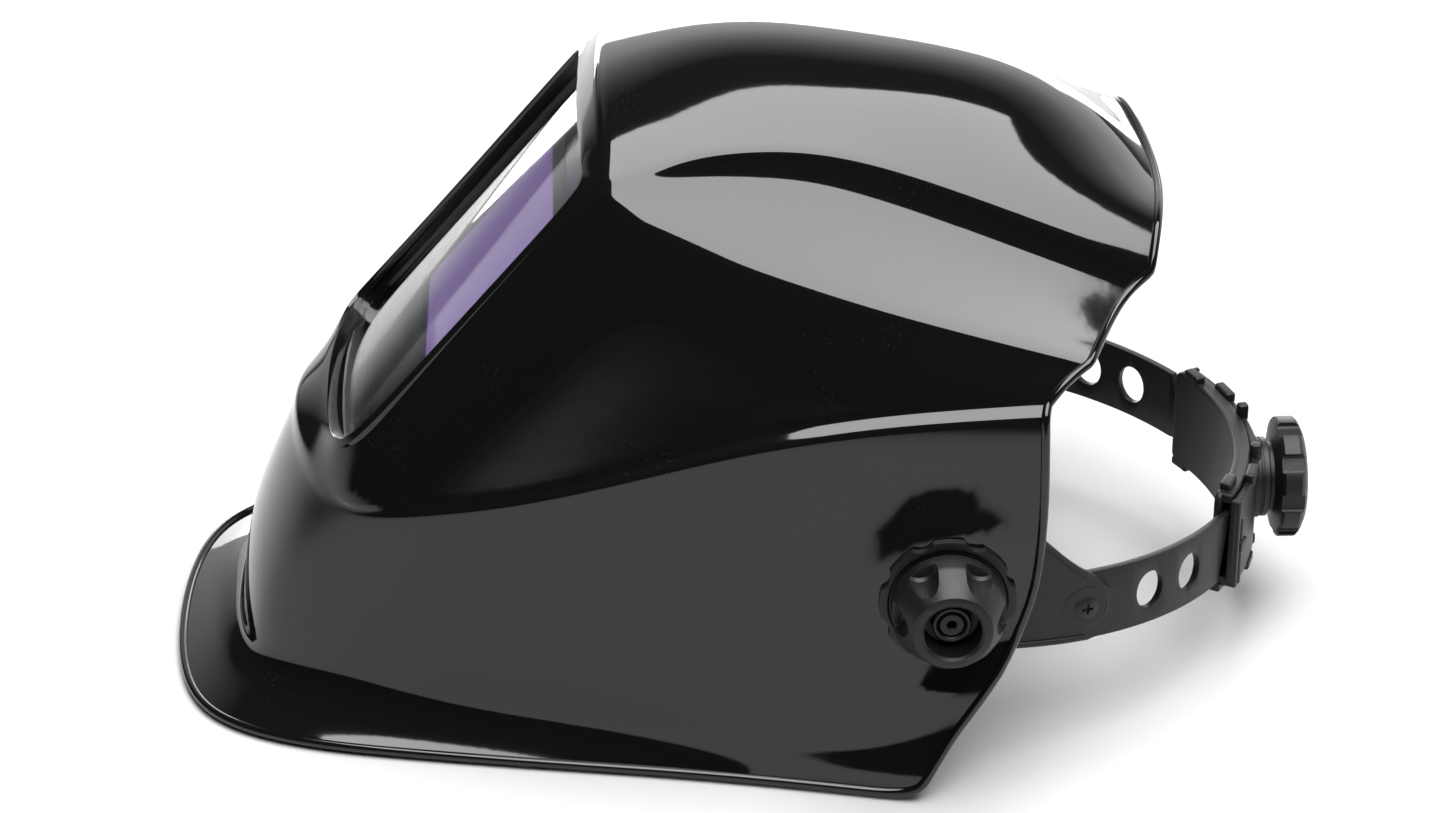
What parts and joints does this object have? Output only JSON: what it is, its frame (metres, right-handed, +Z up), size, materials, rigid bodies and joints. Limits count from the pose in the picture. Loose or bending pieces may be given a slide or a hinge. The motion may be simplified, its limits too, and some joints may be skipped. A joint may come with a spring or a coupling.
{
  "type": "auto-darkening welding helmet",
  "caption": "Gloss black auto-darkening welding helmet with a tilted window, flared lower rim, crowned ridge lines and an adjustable ratchet headgear on side pivots.",
  "frame": {"origin": "middle of the bounding box footprint, on the surface that the helmet lies on", "axes": "+X to the wearer's left, +Y to the back of the head, +Z up as the helmet lies on its lower rim"},
  "size_m": [0.254, 0.3608, 0.2018],
  "materials": {
    "shell_gloss": "high-gloss moulded",
    "nylon_black": "satin moulded",
    "washer_black": "matt moulded",
    "control_grey": "satin moulded",
    "clear_cover": "polished, clear",
    "filter_violet": "polished, violet coating",
    "cell_dark": "polished",
    "foam_black": "foam with woven face",
    "bright_steel": "zinc plated"
  },
  "bodies": {
    "helmet": {"shell": "shell_gloss", "cover_lens": "clear_cover", "filter_cartridge": "nylon_black", "filter_glass": "filter_violet", "solar_cell": "cell_dark", "arc_sensor_left": "cell_dark", "arc_sensor_right": "cell_dark", "inner_lens": "clear_cover", "bail_top": "bright_steel", "bail_bottom": "bright_steel", "button_collar": "nylon_black", "stop_washer_left": "washer_black", "stop_washer_right": "washer_black", "friction_disc_left": "nylon_black", "friction_disc_right": "nylon_black"},
    "headgear": {"browband": "nylon_black", "sweatband": "foam_black", "side_plate_left": "nylon_black", "side_plate_right": "nylon_black", "rear_strap_left": "nylon_black", "rear_strap_right": "nylon_black", "crown_strap_left": "nylon_black", "crown_strap_right": "nylon_black", "crown_pin": "nylon_black", "crown_rivet_left": "nylon_black", "crown_rivet_right": "nylon_black", "brow_rivet_left": "nylon_black", "brow_rivet_right": "nylon_black", "strap_screw_left": "nylon_black", "strap_screw_right": "nylon_black", "pivot_bolt_left": "nylon_black", "pivot_bolt_right": "nylon_black"},
    "ratchet_carriage": {"ratchet_housing_back": "nylon_black", "ratchet_housing_front": "nylon_black"},
    "ratchet_dial": {"ratchet_knob": "nylon_black", "ratchet_pinion": "nylon_black"},
    "left_tension_knob": {"tension_knob_left": "nylon_black"},
    "right_tension_knob": {"tension_knob_right": "nylon_black"},
    "shade_control": {"shade_dial": "control_grey"},
    "sensitivity_control": {"sensitivity_dial": "control_grey"},
    "delay_control": {"delay_switch": "control_grey"},
    "test_control": {"test_button": "control_grey"},
    "left_drawer": {"battery_drawer_left": "nylon_black"},
    "right_drawer": {"battery_drawer_right": "nylon_black"}
  },
  "joints": [
    {"name": "headgear_tilt", "type": "hinge", "parent": "helmet", "child": "headgear", "pos_m": [0, 0.0561, 0.0644], "axis": [1, 0, 0], "range_deg": [-41, 24]},
    {"name": "left_tension_turn", "type": "hinge", "parent": "headgear", "child": "left_tension_knob", "pos_m": [0.118, 0.0561, 0.0644], "axis": [1, 0, 0], "continuous": true},
    {"name": "right_tension_turn", "type": "hinge", "parent": "headgear", "child": "right_tension_knob", "pos_m": [-0.118, 0.0561, 0.0644], "axis": [-1, 0, 0], "continuous": true},
    {"name": "ratchet_slide", "type": "slide", "parent": "headgear", "child": "ratchet_carriage", "axis": [0, -1, 0], "range_m": [-0.008, 0.01], "deforming": ["rear_strap_left", "rear_strap_right"]},
    {"name": "ratchet_turn", "type": "hinge", "parent": "ratchet_carriage", "child": "ratchet_dial", "pos_m": [0, 0.17, 0.0442], "axis": [0, -1, 0], "range_deg": [-115, 143]},
    {"name": "shade_turn", "type": "hinge", "parent": "helmet", "child": "shade_control", "pos_m": [-0.034, -0.08954, 0.07039], "axis": [0, 0.7581, -0.6521], "range_deg": [-135, 135]},
    {"name": "sensitivity_turn", "type": "hinge", "parent": "helmet", "child": "sensitivity_control", "pos_m": [-0.01, -0.08954, 0.07039], "axis": [0, 0.7581, -0.6521], "range_deg": [-135, 135]},
    {"name": "delay_slide", "type": "slide", "parent": "helmet", "child": "delay_control", "axis": [1, 0, 0], "range_m": [-0.003, 0.003]},
    {"name": "test_press", "type": "slide", "parent": "helmet", "child": "test_control", "axis": [0, -0.7581, 0.6521], "range_m": [0, 0.0012], "stiffness_N_per_m": 400},
    {"name": "left_drawer_slide", "type": "slide", "parent": "helmet", "child": "left_drawer", "axis": [1, 0, 0], "range_m": [0, 0.01]},
    {"name": "right_drawer_slide", "type": "slide", "parent": "helmet", "child": "right_drawer", "axis": [-1, 0, 0], "range_m": [0, 0.01]}
  ],
  "couplings": [
    {"joint": "ratchet_turn", "follows": "ratchet_slide", "rad_per_m": 243.9}
  ]
}
